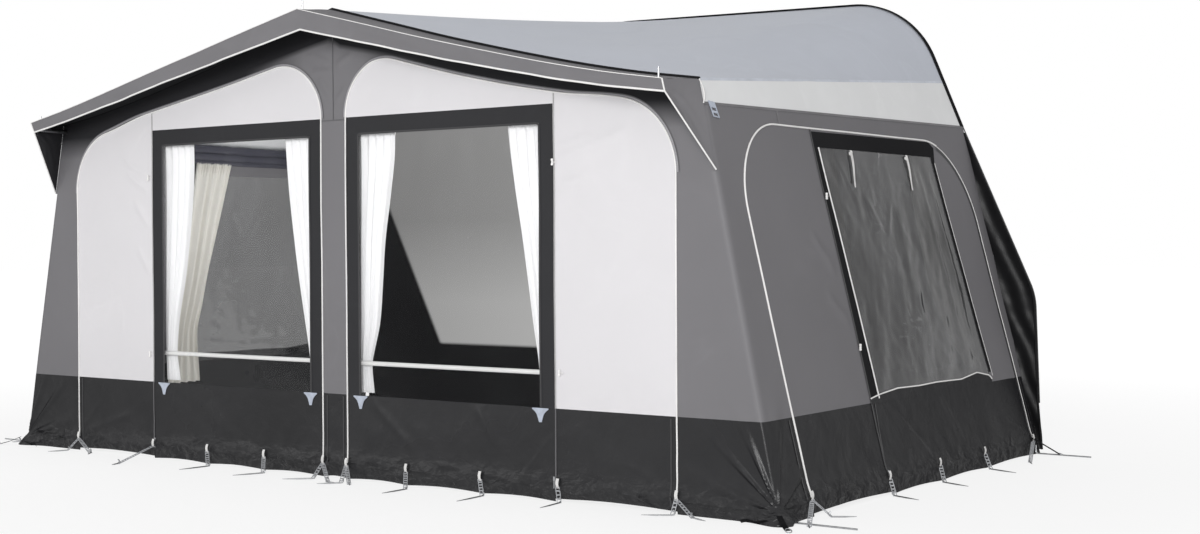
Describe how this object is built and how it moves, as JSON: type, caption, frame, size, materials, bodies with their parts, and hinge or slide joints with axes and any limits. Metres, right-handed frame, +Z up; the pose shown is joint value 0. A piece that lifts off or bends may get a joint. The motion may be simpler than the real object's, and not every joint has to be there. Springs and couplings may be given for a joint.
{
  "type": "caravan awning",
  "caption": "Porch awning for the side of a caravan: fabric shell with forward canopy, arched side walls, film windows with curtains, zipped doors, pole frame and ground pegs.",
  "frame": {"origin": "on the ground, in the middle of the awning's length and width, so that the lowest point is at z = 0", "axes": "+X along the front wall to the right as seen from outside the front, +Y from the front wall towards the caravan's side, +Z up"},
  "size_m": [5.592, 3.0232, 2.4905],
  "materials": {
    "roof_cloth": "coated woven cloth, satin",
    "white_cloth": "coated woven cloth, satin",
    "grey_cloth": "coated woven cloth, matt",
    "front_grey_cloth": "coated woven cloth, matt",
    "black_cloth": "heavy coated cloth, slight sheen",
    "clear_film": "clear flexible film, glossy",
    "curtain_cloth": "thin woven cloth, matt",
    "zinc_steel": "zinc plated",
    "white_metal": "white, satin",
    "black_plastic": "moulded, matt",
    "white_plastic": "flexible piping, satin",
    "grey_plastic": "moulded, satin",
    "black_webbing": "woven strap, matt",
    "grey_rubber": "moulded ladder straps, matt"
  },
  "bodies": {
    "shell": {"roof_panel": "roof_cloth", "awning_bead": "black_plastic", "front_canopy": "front_grey_cloth", "gable_panel": "front_grey_cloth", "corner_strip_left": "front_grey_cloth", "corner_strip_right": "front_grey_cloth", "corner_mudwall_left": "black_cloth", "corner_mudwall_right": "black_cloth", "window_header_left": "white_cloth", "window_header_right": "white_cloth", "window_frame_left": "black_cloth", "window_frame_right": "black_cloth", "window_film_left": "clear_film", "window_film_right": "clear_film", "front_mudwall": "black_cloth", "side_surround_left": "grey_cloth", "side_surround_right": "grey_cloth", "side_window_panel_left": "grey_cloth", "side_window_panel_right": "grey_cloth", "side_window_film_left": "clear_film", "side_window_film_right": "clear_film", "side_mudwall_left": "black_cloth", "side_mudwall_right": "black_cloth", "sealing_flap_left": "black_cloth", "sealing_flap_right": "black_cloth", "upright_lower_centre": "zinc_steel", "upright_lower_left": "zinc_steel", "upright_lower_right": "zinc_steel", "upright_upper_centre": "zinc_steel", "upright_upper_left": "zinc_steel", "upright_upper_right": "zinc_steel", "canopy_rail_left": "zinc_steel", "canopy_rail_right": "zinc_steel", "roof_pole_centre": "zinc_steel", "roof_pole_left": "zinc_steel", "roof_pole_right": "zinc_steel", "veranda_bar": "white_metal", "corner_peg_front_left": "zinc_steel", "corner_peg_front_right": "zinc_steel", "corner_peg_rear_left": "zinc_steel", "corner_peg_rear_right": "zinc_steel"},
    "front_door_leaf_left": {"front_door_left": "white_cloth", "front_door_mudwall_left": "black_cloth"},
    "front_door_leaf_right": {"front_door_right": "white_cloth", "front_door_mudwall_right": "black_cloth"},
    "side_door_leaf_left": {"side_door_left": "grey_cloth", "side_door_mudwall_left": "black_cloth"},
    "side_door_leaf_right": {"side_door_right": "grey_cloth", "side_door_mudwall_right": "black_cloth"},
    "front_slider_left": {"front_zip_slider_left": "zinc_steel"},
    "front_slider_right": {"front_zip_slider_right": "zinc_steel"},
    "side_slider_left": {"side_zip_slider_left": "zinc_steel"},
    "side_slider_right": {"side_zip_slider_right": "zinc_steel"},
    "left_outer_curtain": {"curtain_left_outer": "curtain_cloth"},
    "left_inner_curtain": {"curtain_left_inner": "curtain_cloth"},
    "right_inner_curtain": {"curtain_right_inner": "curtain_cloth"},
    "right_outer_curtain": {"curtain_right_outer": "curtain_cloth"},
    "centre_lever": {"clamp_lever_centre": "black_plastic"},
    "left_lever": {"clamp_lever_left": "black_plastic"},
    "right_lever": {"clamp_lever_right": "black_plastic"}
  },
  "joints": [
    {"name": "front_door_left_hinge", "type": "hinge", "parent": "shell", "child": "front_door_leaf_left", "pos_m": [-1.996, -1.2766, 0.5], "axis": [0, 0, -1], "range_deg": [0, 100]},
    {"name": "front_door_right_hinge", "type": "hinge", "parent": "shell", "child": "front_door_leaf_right", "pos_m": [1.996, -1.2766, 0.5], "axis": [0, 0, 1], "range_deg": [0, 100]},
    {"name": "side_door_left_hinge", "type": "hinge", "parent": "shell", "child": "side_door_leaf_left", "pos_m": [-2.495, -1.0066, 0], "axis": [0.2052, -0.0586, 0.977], "range_deg": [0, 100]},
    {"name": "side_door_right_hinge", "type": "hinge", "parent": "shell", "child": "side_door_leaf_right", "pos_m": [2.495, -1.0066, 0], "axis": [0.2052, 0.0586, -0.977], "range_deg": [0, 100]},
    {"name": "front_zip_left_slide", "type": "slide", "parent": "shell", "child": "front_slider_left", "axis": [0, 0, 1], "range_m": [0, 1.68]},
    {"name": "front_zip_right_slide", "type": "slide", "parent": "shell", "child": "front_slider_right", "axis": [0, 0, 1], "range_m": [0, 1.68]},
    {"name": "side_zip_left_slide", "type": "slide", "parent": "shell", "child": "side_slider_left", "axis": [0.205, -0.0703, 0.9762], "range_m": [0, 1.45]},
    {"name": "side_zip_right_slide", "type": "slide", "parent": "shell", "child": "side_slider_right", "axis": [-0.205, -0.0703, 0.9762], "range_m": [0, 1.45]},
    {"name": "curtain_left_outer_slide", "type": "slide", "parent": "shell", "child": "left_outer_curtain", "axis": [1, 0, 0], "range_m": [0, 0.25]},
    {"name": "curtain_left_inner_slide", "type": "slide", "parent": "shell", "child": "left_inner_curtain", "axis": [-1, 0, 0], "range_m": [0, 0.25]},
    {"name": "curtain_right_inner_slide", "type": "slide", "parent": "shell", "child": "right_inner_curtain", "axis": [1, 0, 0], "range_m": [0, 0.25]},
    {"name": "curtain_right_outer_slide", "type": "slide", "parent": "shell", "child": "right_outer_curtain", "axis": [-1, 0, 0], "range_m": [0, 0.25]},
    {"name": "clamp_lever_centre_hinge", "type": "hinge", "parent": "shell", "child": "centre_lever", "pos_m": [0, -1.2078, 1.15], "axis": [1, 0, 0], "range_deg": [0, 90]},
    {"name": "clamp_lever_left_hinge", "type": "hinge", "parent": "shell", "child": "left_lever", "pos_m": [-2.23638, -1.2078, 1.12584], "axis": [0.9787, 0, -0.2055], "range_deg": [0, 90]},
    {"name": "clamp_lever_right_hinge", "type": "hinge", "parent": "shell", "child": "right_lever", "pos_m": [2.23638, -1.2078, 1.12584], "axis": [0.9787, 0, 0.2055], "range_deg": [0, 90]}
  ]
}
